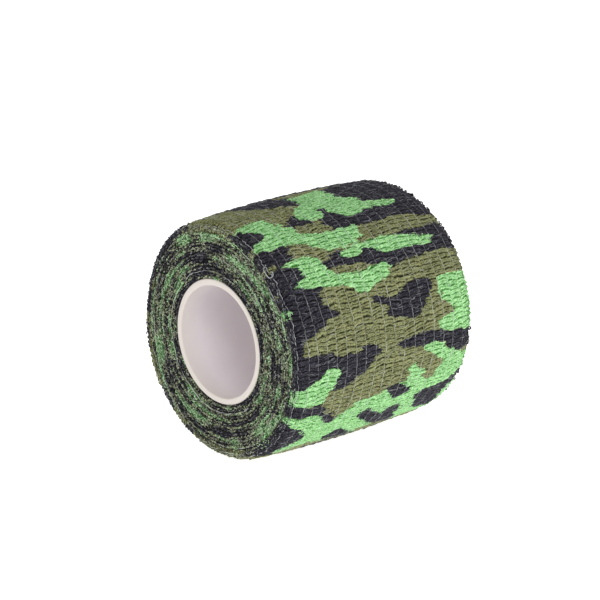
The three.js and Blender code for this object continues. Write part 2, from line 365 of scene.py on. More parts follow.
def print_field(outlines):
    """Distances to the nearest of the outlines on a grid, negative inside."""
    ys = np.arange(-HALF_WIDTH - PRINT_MARGIN, HALF_WIDTH + PRINT_MARGIN + 0.01, PRINT_CELL)
    degrees = np.arange(PRINT_START, PRINT_START + PRINT_PERIOD + 0.01, PRINT_CELL / MM_PER_DEGREE)
    grid_y, grid_s = np.meshgrid(ys, degrees * MM_PER_DEGREE, indexing="ij")
    points = np.stack([grid_y.ravel(), grid_s.ravel()], axis=1)
    best = np.full(len(points), 1e9)
    for outline in outlines:
        curve = rounded([(y, d * MM_PER_DEGREE) for y, d in outline])
        best = np.minimum(best, distance_outside(points, curve))
    return best.reshape(grid_y.shape)


def read_field(field, y, degrees):
    """The field at any place in the first repeat of the print."""
    u = np.clip((y + HALF_WIDTH + PRINT_MARGIN) / PRINT_CELL, 0, field.shape[0] - 1.001)
    v = np.clip((degrees - PRINT_START) * MM_PER_DEGREE / PRINT_CELL, 0, field.shape[1] - 1.001)
    i, j = u.astype(int), v.astype(int)
    fu, fv = u - i, v - j
    low = field[i, j] * (1 - fu) + field[i + 1, j] * fu
    high = field[i, j + 1] * (1 - fu) + field[i + 1, j + 1] * fu
    return low * (1 - fv) + high * fv


SPOT_FIELD = print_field(SPOT_OUTLINES)
GREEN_FIELD = np.maximum(print_field(GREEN_OUTLINES), -print_field(OLIVE_OUTLINES))
GREEN_FIELD = np.minimum(GREEN_FIELD, SPOT_FIELD)
BLACK_FIELD = np.maximum(print_field(BLACK_OUTLINES), -SPOT_FIELD)


def printed(y, degrees, ridge=0):
    """Distances to the green and the black ink, whose edges jump from ridge to ridge."""
    s = degrees * MM_PER_DEGREE
    dark_corner = DARK_CORNER_REACH * bell(y + HALF_WIDTH, 2.4) * bell(degrees - DARK_CORNER, 26)
    y = y + STEP_TO_STEP * (hash01(ridge, 0 * ridge, 151) - 0.5) + 0.4 * signed_noise(y / 0.8, s / 0.6, 152)
    degrees = degrees + 0.8 * signed_noise(y / 1.1, s / 0.8, 153)
    repeat = np.floor((degrees - PRINT_START) / PRINT_PERIOD)
    turned = repeat % 2 == 1
    degrees = degrees - repeat * PRINT_PERIOD
    degrees = np.where(turned, 2 * PRINT_START + PRINT_PERIOD - degrees, degrees)
    y = np.where(turned, -y, y)
    green, black = read_field(GREEN_FIELD, y, degrees), read_field(BLACK_FIELD, y, degrees)
    sliver = np.where(green > 0, 0.7 * bell(green, 0.8), 0)  # black that runs up to the green's edge
    from_edge = HALF_WIDTH - np.abs(y)
    green = np.where(turned, np.maximum(green, GREEN_STOPS - from_edge), green)
    return green, black - dark_corner - sliver


# ---- meshes


def grid_faces(rows, columns, wrap_rows, wrap_columns):
    """Quads of a grid of points, row by row."""
    i = np.arange(rows if wrap_rows else rows - 1)
    j = np.arange(columns if wrap_columns else columns - 1)
    i, j = np.meshgrid(i, j, indexing="ij")
    i2, j2 = (i + 1) % rows, (j + 1) % columns
    quads = np.stack([i * columns + j, i * columns + j2, i2 * columns + j2, i2 * columns + j], axis=-1)
    return quads.reshape(-1, 4)


ACROSS = np.array([0.0, 1.0, 0.0])
TUBE_SIDES = 5
ARC_SIDES = 3
ARC_STEPS = 4


def tube(path, radii):
    """Points and faces of a thin thread along a path of points."""
    ahead = np.gradient(path, axis=0)
    ahead /= np.linalg.norm(ahead, axis=1)[:, None] + 1e-12
    up = np.where(np.abs(ahead[:, 1:2]) < 0.8, ACROSS, (1.0, 0.0, 0.0))
    side = np.cross(ahead, up)
    side /= np.linalg.norm(side, axis=1)[:, None] + 1e-12
    top = np.cross(side, ahead)
    a = 2 * np.pi * np.arange(TUBE_SIDES) / TUBE_SIDES
    ring = side[:, None] * np.cos(a)[:, None] + top[:, None] * np.sin(a)[:, None]
    points = path[:, None] + ring * radii.reshape(-1, 1, 1)
    return points.reshape(-1, 3), grid_faces(len(path), TUBE_SIDES, False, True)[:, ::-1]


def arcs(base, span, rise, thick):
    """Points and faces of fibre loops, each from base - span over base + rise to base + span."""
    a = np.linspace(0, np.pi, ARC_STEPS + 1)
    cos_a, sin_a = np.cos(a)[None, :, None], np.sin(a)[None, :, None]
    span, rise = span[:, None, :], rise[:, None, :]
    path = base[:, None, :] - cos_a * span + sin_a * rise
    ahead = sin_a * span + cos_a * rise
    ahead /= np.linalg.norm(ahead, axis=2, keepdims=True)
    side = np.cross(span, rise)
    side /= np.linalg.norm(side, axis=2, keepdims=True)
    up = np.cross(side, ahead)
    b = 2 * np.pi * np.arange(ARC_SIDES) / ARC_SIDES
    ring = side[:, :, None, :] * np.cos(b)[:, None] + up[:, :, None, :] * np.sin(b)[:, None]
    taper = (0.35 + 0.65 * np.sqrt(sin_a.clip(0)))[..., None] * thick.reshape(-1, 1, 1, 1)
    points = (path[:, :, None, :] + ring * taper).reshape(-1, 3)
    one = grid_faces(ARC_STEPS + 1, ARC_SIDES, False, True)
    starts = np.arange(len(base)) * (ARC_STEPS + 1) * ARC_SIDES
    return points, (one[None] + starts[:, None, None]).reshape(-1, 4)


class Shape:
    """One mesh, collected part by part, with its values for the materials."""

    VALUES = ("tone_and_painted_light", "green_distance", "black_distance", "bare", "rim")

    def __init__(self):
        self.points, self.faces, self.slots = [], [], []
        self.values = {name: [] for name in self.VALUES}
        self.count = 0

    def add(self, points, faces, look=None, slot=0):
        """look has one value for all the points, or one for each, or for each run of them."""
        points = np.asarray(points, float).reshape(-1, 3)
        self.points.append(points)
        self.faces.append(np.asarray(faces) + self.count)
        self.slots.append(np.full(len(faces), slot))
        for name in self.VALUES:
            value = np.ravel((look or {}).get(name, 0.0))
            self.values[name].append(np.repeat(value, len(points) // len(value)))
        self.count += len(points)

    def make(self, name, *materials):
        """The finished Blender object, in metres."""
        points = np.concatenate(self.points) * MM
        points[:, 2] = np.maximum(points[:, 2], 0)  # what lies on the floor is pressed flat
        mesh = bpy.data.meshes.new(name)
        mesh.from_pydata(points.tolist(), [], np.concatenate(self.faces).tolist())
        mesh.polygons.foreach_set("use_smooth", np.ones(len(mesh.polygons), bool))
        for key, value in self.values.items():
            layer = mesh.attributes.new(key, "FLOAT", "POINT")
            layer.data.foreach_set("value", np.concatenate(value).astype(np.float32))
        for material in materials:
            mesh.materials.append(material)
        mesh.polygons.foreach_set("material_index", np.concatenate(self.slots).astype(np.int32))
        mesh.update()
        obj = bpy.data.objects.new(name, mesh)
        bpy.context.scene.collection.objects.link(obj)
        return obj


def place(piece, slot, *nodes):
    """Fixes a finished piece to the roll, in place of its CAD nodes."""
    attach(piece, "roll")
    if nodes:
        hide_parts(*nodes)


# ---- materials


def linear(r, g, b):
    """A colour of 0 to 255 screen values, made linear."""
    def one(c):
        c = c / 255
        return c / 12.92 if c <= 0.04045 else ((c + 0.055) / 1.055) ** 2.4
    return (one(r), one(g), one(b), 1.0)


GRAIN_RANGE = (0.3, 0.7)  # most of a noise texture's values lie between these


class Graph:
    """Short calls for building a node material."""

    def __init__(self, name):
        self.material = bpy.data.materials.new(name)
        self.material.use_nodes = True
        self.tree = self.material.node_tree
        self.shader = self.tree.nodes["Principled BSDF"]
        self.place = self.tree.nodes.new("ShaderNodeTexCoord").outputs["Object"]

    def put(self, value, socket):
        if isinstance(value, bpy.types.NodeSocket):
            self.tree.links.new(value, socket)
        else:
            socket.default_value = value

    def node(self, kind, inputs=(), **settings):
        n = self.tree.nodes.new(kind)
        for key, value in settings.items():
            setattr(n, key, value)
        for key, value in dict(inputs).items():
            self.put(value, n.inputs[key])
        return n

    def math(self, operation, a, b, clamp=False):
        return self.node("ShaderNodeMath", {0: a, 1: b}, operation=operation, use_clamp=clamp).outputs[0]

    def spread(self, value, low, high, to_low=0.0, to_high=1.0):
        n = self.node("ShaderNodeMapRange", {"Value": value, "From Min": low, "From Max": high,
                                             "To Min": to_low, "To Max": to_high})
        return n.outputs["Result"]

    def mix(self, factor, a, b):
        return self.node("ShaderNodeMix", {0: factor, 6: a, 7: b}, data_type="RGBA").outputs[2]

    def value(self, name):
        return self.node("ShaderNodeAttribute", attribute_name=name).outputs["Fac"]

    def grain(self, size_mm, detail=2.0, stretch=(1, 1, 1)):
        """Noise from 0 to 1 with features of about size_mm, stretched along the axes."""
        squeeze = tuple(1 / s for s in stretch)
        scaled = self.node("ShaderNodeMapping", {"Vector": self.place, "Scale": squeeze}).outputs[0]
        settings = {"Vector": scaled, "Scale": 1 / (size_mm * MM), "Detail": detail}
        return self.node("ShaderNodeTexNoise", settings).outputs["Fac"]

    def bump(self, height, distance_mm, strength):
        settings = {"Height": height, "Distance": distance_mm * MM, "Strength": strength}
        self.put(self.node("ShaderNodeBump", settings).outputs["Normal"], self.shader.inputs["Normal"])

    def finish(self, colour, roughness, sheen=0.0, shine=0.5):
        self.put(colour, self.shader.inputs["Base Color"])
        self.put(roughness, self.shader.inputs["Roughness"])
        self.put(shine, self.shader.inputs["Specular IOR Level"])
        self.put(sheen, self.shader.inputs["Sheen Weight"])
        return self.material


INKS_SHADED_AND_LIT = {  # each ink's colour in painted shade, for a hollow, and with a painted highlight, for a crest
    "olive": (linear(22, 23, 4), linear(158, 162, 111)),
    "green": (linear(40, 108, 28), linear(190, 248, 174)),
    "black": (linear(3, 2, 6), linear(55, 53, 64)),
}
# The faded ink of the cut edges, in painted shade and with a painted highlight.
FADED_INK_SHADED_AND_LIT = (linear(14, 12, 18), linear(194, 202, 180))
BARE_FIBRE = linear(202, 205, 206)
INK_BLUR = 0.08  # to each side, where one ink gives way to the next
INK_WANDER = 0.24  # how far the edges between inks stray
CORE_WHITE = (linear(222, 214, 217), linear(228, 221, 223))
# Painted shade on the core's rims, tinted by a painted reflection of the fabric.
CORE_RIM_PAINTED_SHADE = linear(211, 203, 195)


def wrap_material(name, speckle, bare_flecks_and_highlight, faded, roughness):
    """Inks over pale fibre, each mixed by the tone from its painted shade to its painted highlight.

    Speckle is how much the tone varies, the fleck amount how much bare fibre shows in pale flecks on the
    crests, partly as a painted highlight, and faded how far the olive and the green have gone to grey.
    """
    g = Graph(name)
    fine = g.spread(g.grain(0.16, 2.0), *GRAIN_RANGE, -speckle, speckle)
    fibres = g.spread(g.grain(0.34, 3.0), *GRAIN_RANGE, -speckle, speckle)
    tone_and_painted_light = g.math("ADD", g.value("tone_and_painted_light"), g.math("ADD", fine, fibres), clamp=True)
    # Each ink goes from its painted shade in the hollows to its painted highlight on the crests.
    inks_shaded_and_lit = {ink: g.mix(tone_and_painted_light, *pair) for ink, pair in INKS_SHADED_AND_LIT.items()}
    ragged = g.spread(g.grain(0.42, 3.0), *GRAIN_RANGE, -INK_WANDER, INK_WANDER)
    is_green = g.spread(g.math("ADD", g.value("green_distance"), ragged), INK_BLUR, -INK_BLUR)
    is_black = g.spread(g.math("ADD", g.value("black_distance"), ragged), INK_BLUR, -INK_BLUR)
    colour = g.mix(faded, g.mix(is_green, inks_shaded_and_lit["olive"], inks_shaded_and_lit["green"]), g.mix(tone_and_painted_light, *FADED_INK_SHADED_AND_LIT))
    colour = g.mix(is_black, colour, inks_shaded_and_lit["black"])
    # Pale flecks of bare fibre, mostly on the crests: partly real fibre ends, partly a painted highlight.
    fleck = g.spread(g.grain(0.22, 2.0), 0.55, 0.70)
    flecks = g.math("MULTIPLY", fleck, g.spread(tone_and_painted_light, 0.3, 0.9, 0.0, bare_flecks_and_highlight))
    bare = g.math("ADD", g.value("bare"), flecks, clamp=True)
    colour = g.mix(bare, colour, BARE_FIBRE)
    g.bump(g.grain(0.18, 3.0), distance_mm=0.10, strength=0.8)
    return g.finish(colour, roughness, sheen=0.04, shine=0.15)


def core_material():
    """White plastic, a little cloudy, with faint lines along the tube and painted shade on the rims."""
    g = Graph("core_plastic")
    cloud = g.grain(9.0, 3.0)
    colour = g.mix(g.spread(cloud, *GRAIN_RANGE), *CORE_WHITE)
    colour = g.mix(g.value("rim"), colour, CORE_RIM_PAINTED_SHADE)
    drawn = g.grain(0.5, 3.0, stretch=(1, 60, 1))
    g.bump(g.math("ADD", drawn, g.grain(0.35, 2.0)), distance_mm=0.015, strength=0.35)
    return g.finish(colour, g.spread(cloud, *GRAIN_RANGE, 0.34, 0.46))


PRINTED_WEB = wrap_material("printed_web", speckle=0.28, bare_flecks_and_highlight=0.30, faded=0.0, roughness=0.92)
CUT_EDGES = wrap_material("winding_fabric", speckle=0.58, bare_flecks_and_highlight=0.46, faded=0.46, roughness=0.96)
THREAD = wrap_material("elastic_thread", speckle=0.10, bare_flecks_and_highlight=0.20, faded=0.0, roughness=0.70)
CORE_PLASTIC = core_material()

# ---- the last full turn

STRIP_CELL = 0.2  # between the web's points
EDGE_Y = HALF_WIDTH - 0.06
TURN_DEPTH = 1.0  # of the outer turn's meshes
PANEL_THREADS = (6, 12)  # where its three meshes meet
LOOP_PITCH = 1.1
RIM_ROWS = [(0.05, 75), (0.45, 50), (1.1, 30), (1.9, 15)]  # distance from the edge, degrees of lean
RIM_LOOPS = {-1: (0.26, 0.10, 0.12), 1: (0.54, 0.19, 0.24)}  # height, thickness, depth of the roots
FIBRE_TRIES = 2.1  # places tried on each square millimetre
CREST_TONE = 0.74  # only the places above this keep their fibre


def direction_out(degrees):
    """The direction away from the roll's axis at an angle."""
    a = np.radians(degrees)
    return np.stack([np.cos(a), 0 * a, np.sin(a)], axis=-1)


def direction_round(degrees):
    """The direction round the roll at an angle."""
    a = np.radians(degrees)
    return np.stack([-np.sin(a), 0 * a, np.cos(a)], axis=-1)


def strip_grid(first, last, left, right):
    """Places on the strip: degrees from first to last, y from left to right."""
    rows = round((last - first) * MM_PER_DEGREE / STRIP_CELL) + 1
    columns = round((right - left) / STRIP_CELL) + 1
    return np.meshgrid(np.linspace(first, last, rows), np.linspace(left, right, columns), indexing="ij")


def strip_radius(y, degrees):
    """The strip's mean radius. The tail lies at the crown, and the turn before it steps down."""
    return crown_radius(y) - np.where(degrees > TAIL_START, 0.0, step_down(degrees))


def strip_surface(y, degrees):
    """The outer face's radius, and its look."""
    height, tone_and_painted_light, ridge = crinkle(y, degrees)
    green, black = printed(y, degrees, ridge)
    radius = pressed(degrees, strip_radius(y, degrees) + height)
    return radius, {"tone_and_painted_light": tone_and_painted_light, "green_distance": green, "black_distance": black}


def add_rim_loops(shape, first, last, side):
    """The loops of fibre along one cut edge of the strip."""
    count = round((last - first) * MM_PER_DEGREE / LOOP_PITCH)
    height, thickness, depth = RIM_LOOPS[side]
    for row, (inset, lean) in enumerate(RIM_ROWS):
        i = np.arange(count)
        seed = 200 + 10 * row + (5 if side > 0 else 0)
        degrees = first + (last - first) * (i + 0.25 + 0.5 * hash01(i, i, seed)) / count
        y = side * (EDGE_Y - inset - 0.3 * hash01(i, i, seed + 1))
        radius, look = strip_surface(y, degrees)
        tilt = np.radians(lean + 50 * (hash01(i, i, seed + 2) - 0.5))[:, None]
        rise = np.cos(tilt) * direction_out(degrees) + np.sin(tilt) * side * ACROSS
        rise = rise * height * (0.6 + 0.8 * hash01(i, i, seed + 3))[:, None]
        skew = (hash01(i, i, seed + 4) - 0.5)[:, None]
        span = direction_round(degrees) * 0.36 + skew * 0.5 * ACROSS
        mean = pressed(degrees, strip_radius(y, degrees))
        base = around(degrees, np.clip(radius, mean - 0.15, mean) - depth, y)
        points, faces = arcs(base, span, rise, thickness * (0.75 + 0.5 * hash01(i, i, seed + 5)))
        look["tone_and_painted_light"] = 0.15 + 0.75 * hash01(i, i, seed + 6)
        shape.add(points, faces, look)


def add_fibres(shape, first, last):
    """Loose fibres that lie along the crests of the ridges."""
    count = round((last - first) * MM_PER_DEGREE * 2 * HALF_WIDTH * FIBRE_TRIES)
    i = np.arange(count) + round(first * 1000)
    degrees = first + (last - first) * hash01(i, i, 251)
    y = (HALF_WIDTH - 1.5) * (2 * hash01(i, i, 252) - 1)
    keep = crinkle(y, degrees)[1] > CREST_TONE
    i, degrees, y = i[keep], degrees[keep], y[keep]
    radius, look = strip_surface(y, degrees)
    span = ACROSS * (0.35 + 0.6 * hash01(i, i, 253))[:, None]
    span = span + direction_round(degrees) * (0.5 * (hash01(i, i, 254) - 0.5))[:, None]
    rise = direction_out(degrees) * (0.03 + 0.10 * hash01(i, i, 255))[:, None]
    rise = rise + direction_round(degrees) * (0.7 * (hash01(i, i, 256) - 0.5))[:, None]
    points, faces = arcs(around(degrees, radius, y), span, rise, 0.05 + 0.03 * hash01(i, i, 257))
    look["tone_and_painted_light"] = 0.9
    look["bare"] = 0.38 * hash01(i, i, 258)
    shape.add(points, faces, look)


def make_outer_turn():
    """The last full turn: three closed meshes side by side, and the fibres on it."""
    cuts = [-EDGE_Y, *THREAD_Y[list(PANEL_THREADS)], EDGE_Y]
    for number, (left, right) in enumerate(zip(cuts, cuts[1:]), start=1):
        degrees, y = strip_grid(STRIP_START, TAIL_START, left, right)
        radius, look = strip_surface(y, degrees)
        inner_y = y[:, [-1, 0]]
        inner_degrees = degrees[:, :2]
        inner = around(inner_degrees, strip_radius(inner_y, inner_degrees) - TURN_DEPTH, inner_y)
        points = np.concatenate([around(degrees, radius, y), inner], axis=1)
        look = {name: np.pad(value, ((0, 0), (0, 2))) for name, value in look.items()}
        shape = Shape()
        shape.add(points, grid_faces(*points.shape[:2], True, True), look)
        if left == -EDGE_Y:
            add_rim_loops(shape, STRIP_START, TAIL_START, -1)
        if right == EDGE_Y:
            add_rim_loops(shape, STRIP_START, TAIL_START, 1)
        place(shape.make(f"outer_turn_{number}", PRINTED_WEB), "printed_web", "outer_web", "inner_web")
    fibres = Shape()
    add_fibres(fibres, STRIP_START, TAIL_START)
    place(fibres.make("outer_turn_fibres", PRINTED_WEB), "printed_web")


# ---- elastic threads

THREAD_RADIUS = 0.06
THREAD_STEP = 0.33
LEAST_HEIGHT = -0.14  # a thread bridges deeper hollows
LOOSE_RADIUS = 0.075
LOOSE_LOOP = [  # degrees, height over the crown, millimetres across
    (54, -0.1, -24.2), (53, 0.4, -24.8), (51, 0.7, -25.2), (48.5, 0.75, -25.2),
    (47, 0.5, -24.8), (47.4, 0.25, -24.3), (49, 0.2, -24.1), (50, -0.2, -24.3),
]


def add_thread(shape, index, first, last, slot=0):
    """One thread: it follows the web, wanders a little, and is buried here and there."""
    degrees = np.linspace(first, last, round((last - first) * MM_PER_DEGREE / THREAD_STEP) + 1)
    s = degrees * MM_PER_DEGREE
    here = np.full_like(s, index * 5.1)
    y = np.clip(THREAD_Y[index] + thread_wander(index, s), -EDGE_Y + 0.1, EDGE_Y - 0.1)
    height, tone_and_painted_light, ridge = crinkle(y, degrees)
    green, black = printed(y, degrees, ridge)
    shown = noise(s / 0.8, here, 301) + 0.5 * signed_noise(s / 3.1, here, 302)
    lift = np.clip(0.20 * (shown - 0.18), -0.04, 0.06)
    radius = pressed(degrees, strip_radius(y, degrees) + np.maximum(height, LEAST_HEIGHT) + lift)
    thick = THREAD_RADIUS * (0.6 + 0.8 * noise(s / 0.7, here, 303))
    points, faces = tube(around(degrees, radius - 0.01, y), thick)
    selvedge = 0.4 if index == 0 else 0.0
    # Paler where the thread rides over a crest: bare white thread showing, and partly a painted highlight
    # from the tone.
    bare = np.clip(0.7 * tone_and_painted_light + 0.6 * (shown - 0.45), 0.08, 0.8)
    bare = bare * (1 - 0.4 * np.clip(0.5 - black, 0, 1))
    look = {
        "tone_and_painted_light": 0.85,
        "green_distance": green,
        "black_distance": black,
        "bare": np.clip(bare + selvedge, 0, 0.9),
    }
    shape.add(points, faces, look, slot)


def add_loose_loop(shape):
    """A little loop of the front edge thread that has sprung out."""
    degrees, lift, y = rounded(LOOSE_LOOP, closed=False).T
    points, faces = tube(around(degrees, crown_radius(y) + lift, y), LOOSE_RADIUS + 0 * y)
    shape.add(points, faces, {"tone_and_painted_light": 0.9, "bare": 0.75})


def make_threads():
    """The elastic threads of the last full turn, each a piece of its own."""
    for index, name in enumerate(THREAD_NAMES):
        shape = Shape()
        add_thread(shape, index, STRIP_START, TAIL_START)
        if index == 0:
            add_loose_loop(shape)
        place(shape.make(f"thread_{index + 1:02d}", THREAD), "elastic_thread", name)


# ---- the end faces of the winding

FACE_CELL = 0.17  # between a face's points
FACE_RADIUS = 20  # where they are as far apart round the roll
FACE_REACH = 0.62  # the part of the shoulder that the face takes in
CLOSING_DEPTH = (1.6, 4)  # of its hidden inner surfaces: inside the rim, behind the face
CUT_PITCH = 0.56  # between the crinkles of a cut edge
GAP_WIDTH = 0.17  # between turns, as a part of a turn
TURNS = round((SIDE_RADIUS - CORE_OUTER) / LAMINATE)
DARK_TURNS = (0.26, 0.7, 1.3)  # next to the core: how much darker, how far out, how wide
FACE_PATCHES = [  # how much greener (-: darker), radius, degrees, width, length round
    (0.7, 20.3, 201, 1.4, 2.2), (0.5, 22.6, 120, 1.2, 1.9), (0.5, 22.3, 92, 1.1, 3.0),
    (0.4, 20.5, 50, 0.8, 2.8), (0.3, 19.7, 12, 1.4, 3.0), (0.4, 19.9, 343, 1.6, 2.0),
    (0.5, 21.2, 285, 1.6, 2.2), (0.5, 22.9, 312, 1.1, 1.6), (0.4, 19.6, 239, 1.0, 4.0),
    (-0.4, 21.4, 108, 1.4, 1.4), (-0.2, 17.2, 106, 1.4, 3.0), (-0.5, 18.5, 357, 1.3, 3.0),
    (-0.4, 17.0, 316, 1.5, 2.4), (-0.3, 19.0, 222, 2.0, 2.5), (-0.5, 17.9, 207, 1.6, 2.4),
    (-0.4, 24.2, 205, 1.2, 9.0), (0.2, 17.5, 262, 1.8, 4.0), (-0.25, 20.8, 152, 2.2, 7.0),
    (-0.2, 17.4, 20, 1.6, 6.0),
]


def ring_noise(degrees, cells, v, seed):
    """Noise from -1 to 1 that closes on itself round the roll."""
    return signed_noise(degrees * cells / 360, v, seed, wrap=cells)


def face_mix(radius, degrees, along, side, seed):
    """The colour of the cut edges: black below about 0.5, green above about 0.76, olive between."""
    mix = 0.58 + 0.42 * signed_noise(along / 18, 0 * along, seed + 6)
    mix = mix + 0.24 * ring_noise(degrees, 24, radius / 2.2, seed + 7)
    mix = mix + 0.10 * ring_noise(degrees, 90, radius / 0.9, seed + 8)
    darker, distance, width = DARK_TURNS
    mix = mix - darker * bell(radius - CORE_OUTER - distance, width)
    if side < 0:
        for ink, place_radius, place_degrees, wide, long in FACE_PATCHES:
            round_mm = ((degrees - place_degrees + 180) % 360 - 180) * math.radians(place_radius)
            mix = mix + ink * bell(radius - place_radius, wide) * bell(round_mm, long)
    return mix


def cut_face(radius, degrees, side):
    """How far the cut edges stand out over an end face, and their look, with painted shade in the gaps
    between turns and among the tufts.
    """
    seed = 400 if side < 0 else 450
    past_tail = strip_place(degrees) - STRIP_START
    degrees = degrees % 360
    waves = 0.16 * ring_noise(degrees, 60, radius / 0.9, seed)
    waves = waves + 0.10 * ring_noise(degrees, 150, radius / 0.5, seed + 1)
    turn = (radius + waves - CORE_OUTER) / LAMINATE - past_tail / 360
    layer = np.floor(turn)
    along = 360 * layer + past_tail
    arc = along * math.radians(1) * (CORE_OUTER + layer * LAMINATE)
    zigzag = np.sin(2 * math.pi * arc / CUT_PITCH + 3 * signed_noise(along / 7, 0 * along, seed + 2))
    t = turn - layer + 0.16 * zigzag
    gap = bell(np.minimum(np.abs(t), np.abs(1 - t)), GAP_WIDTH)
    stands = 0.20 * signed_noise(along / 23, 0 * along, seed + 3)
    tufts = 0.8 * ring_noise(degrees, 330, radius / 0.34, seed + 4)
    tufts = tufts + ring_noise(degrees, 620, radius / 0.22, seed + 5)
    height = stands + 0.12 * tufts + 0.06 * zigzag - 0.18 * gap
    # Painted light: the tone is darkened as painted shade in the gaps between turns and lightened where
    # layers and tufts stand out, besides the random tone of the tufts.
    tone_and_painted_light = 0.30 + 0.47 * tufts + 0.18 * zigzag + 0.4 * stands - 0.62 * gap
    mix = face_mix(radius, degrees, along, side, seed)
    green = 1.5 * (0.76 - mix)
    # Painted shade: the gaps between turns and the low places among the tufts are given more black ink.
    black = 1.5 * (mix - 0.50) + 0.34 * tufts - 0.55 * gap + 0.12
    edge_green, edge_black = printed(side * HALF_WIDTH + 0 * radius, strip_place(degrees))
    edge_black = edge_black - 1.2 + 1.2 * ring_noise(degrees, 40, radius / 2.0, seed + 9)
    outer = np.clip((radius - (SIDE_RADIUS - SHOULDERS[side] + 0.2)) / 0.8, 0, 1)
    look = {
        "tone_and_painted_light": np.clip(tone_and_painted_light, 0, 1),
        "green_distance": green * (1 - outer) + edge_green.clip(-1, 1) * outer,
        "black_distance": black * (1 - outer) + edge_black.clip(-1, 1) * outer,
    }
    return height, look


def face_points(radius, degrees, height, side):
    """Points of an end face: nearly flat, and rounded over at the shoulder."""
    size = SHOULDERS[side]
    flat = SIDE_RADIUS - size
    over = np.clip(radius - flat, 0, size)
    height = height * np.clip((radius - CORE_OUTER) / 0.4, 0, 1)
    out = EDGE_Y - (size - np.sqrt(size**2 - over**2)) + height
    shrink = step_down(strip_place(degrees)) * np.clip((radius - flat + 3) / 3, 0, 1)
    return around(degrees, pressed(degrees, radius - shrink), side * np.minimum(out, HALF_WIDTH + 0.2))


def add_cut_loops(shape, side):
    """The crinkled cut edge of every turn, as loops of fibre on the face."""
    seed = 500 if side < 0 else 550
    for layer in range(TURNS):
        mean = CORE_OUTER + (layer + 0.8) * LAMINATE
        i = np.arange(round(2 * math.pi * mean / CUT_PITCH)) + 1000 * layer
        degrees = (i + hash01(i, i, seed)) * CUT_PITCH / math.radians(mean) % 360
        turn = layer + 0.45 + (strip_place(degrees) - STRIP_START) / 360
        radius = CORE_OUTER + turn * LAMINATE + 0.3 * (hash01(i, i, seed + 1) - 0.5)
        radius = np.minimum(radius, SIDE_RADIUS - 0.45 * SHOULDERS[side])
        height, look = cut_face(radius, degrees, side)
        base = face_points(radius, degrees, height - 0.06, side)
        turned = (hash01(i, i, seed + 2) - 0.5)[:, None]
        span = direction_round(degrees) * 0.27 + direction_out(degrees) * 0.45 * turned
        rise = side * ACROSS * (0.14 + 0.22 * hash01(i, i, seed + 3))[:, None]
        rise = rise + direction_out(degrees) * (0.3 * (hash01(i, i, seed + 4) - 0.5))[:, None]
        points, faces = arcs(base, span, rise, 0.07 + 0.06 * hash01(i, i, seed + 5))
        shift = 1.0 * (hash01(i, i, seed + 6) - 0.5)
        look = {
            "tone_and_painted_light": 1.9 * hash01(i, i, seed + 7) - 0.40,
            "green_distance": look["green_distance"] + shift,
            "black_distance": look["black_distance"] - shift,
            "bare": 0.5 * hash01(i, i, seed + 8) ** 4,
        }
        shape.add(points, faces, look)


def make_end_face(side, name):
    """Half of the winding: an end face, and plain surfaces that close it off inside."""
    size = SHOULDERS[side]
    innermost, outermost = CORE_OUTER + 0.05, SIDE_RADIUS - size + FACE_REACH * size
    radii = np.linspace(innermost, outermost, round((outermost - CORE_OUTER) / FACE_CELL))
    angles = np.linspace(0, 360, round(2 * math.pi * FACE_RADIUS / FACE_CELL), endpoint=False)
    degrees, radius = np.meshgrid(angles, radii, indexing="ij")
    height, look = cut_face(radius, degrees, side)
    wall, shelf = outermost - CLOSING_DEPTH[0], HALF_WIDTH - CLOSING_DEPTH[1]
    inner = [around(angles, np.full_like(angles, r), side * y)
             for r, y in ((wall, shelf), (wall, 0), (innermost, 0))]
    points = np.concatenate([face_points(radius, degrees, height, side), np.stack(inner, axis=1)], axis=1)
    look = {key: np.pad(value, ((0, 0), (0, 3))) for key, value in look.items()}
    faces = grid_faces(*points.shape[:2], True, True)
    shape = Shape()
    shape.add(points, faces if side > 0 else faces[:, ::-1], look)
    add_cut_loops(shape, side)
    place(shape.make(name, CUT_EDGES), "winding_fabric", "wound_turns")


FACE_THREAD_RUNS = [  # first radius, last radius, first degrees, last degrees
    (15.0, 15.3, 40, 310), (21.4, 22.7, 178, 240), (17.9, 18.2, 35, 110), (22.8, 22.9, 20, 80),
    (22.5, 22.6, 262, 300),
]
FACE_THREAD_STEP = 0.4


def make_face_threads():
    """The edge threads of inner turns that show on the front face."""
    shape = Shape()
    for number, (first_radius, last_radius, first, last) in enumerate(FACE_THREAD_RUNS):
        steps = round((last - first) * math.radians(last_radius) / FACE_THREAD_STEP)
        degrees = np.linspace(first, last, steps)
        s = degrees * math.radians(last_radius)
        here = np.full_like(s, number * 3.3)
        radius = np.linspace(first_radius, last_radius, len(degrees))
        radius = radius + 0.16 * signed_noise(s / 3.0, here, 601) + 0.10 * signed_noise(s / 0.8, here, 602)
        height, look = cut_face(radius, degrees, -1)
        shown = noise(s / 2.0, here, 603)
        points = face_points(radius, degrees, np.maximum(height, 0) + 0.20 * (shown - 0.25), -1)
        tube_points, faces = tube(points, LOOSE_RADIUS * (0.7 + 0.6 * noise(s / 1.1, here, 604)))
        look["tone_and_painted_light"] = 0.9
        look["bare"] = np.clip(0.25 + 1.0 * (shown - 0.35), 0.05, 0.85)
        shape.add(tube_points, faces, look)
    place(shape.make("face_threads", THREAD), "elastic_thread")


# ---- the core

CORE_SIDES = 180
CORE_EASE = 0.32  # radius of the wall's rounded corners
CORNER_STEPS = 6
WALL_STEPS = 12
CORE_WAVER = 0.03
RIM_PAINTED_SHADE_BAND = (0.6, 0.4)  # the painted shade at each rim: its width, and over how much of that it sets in


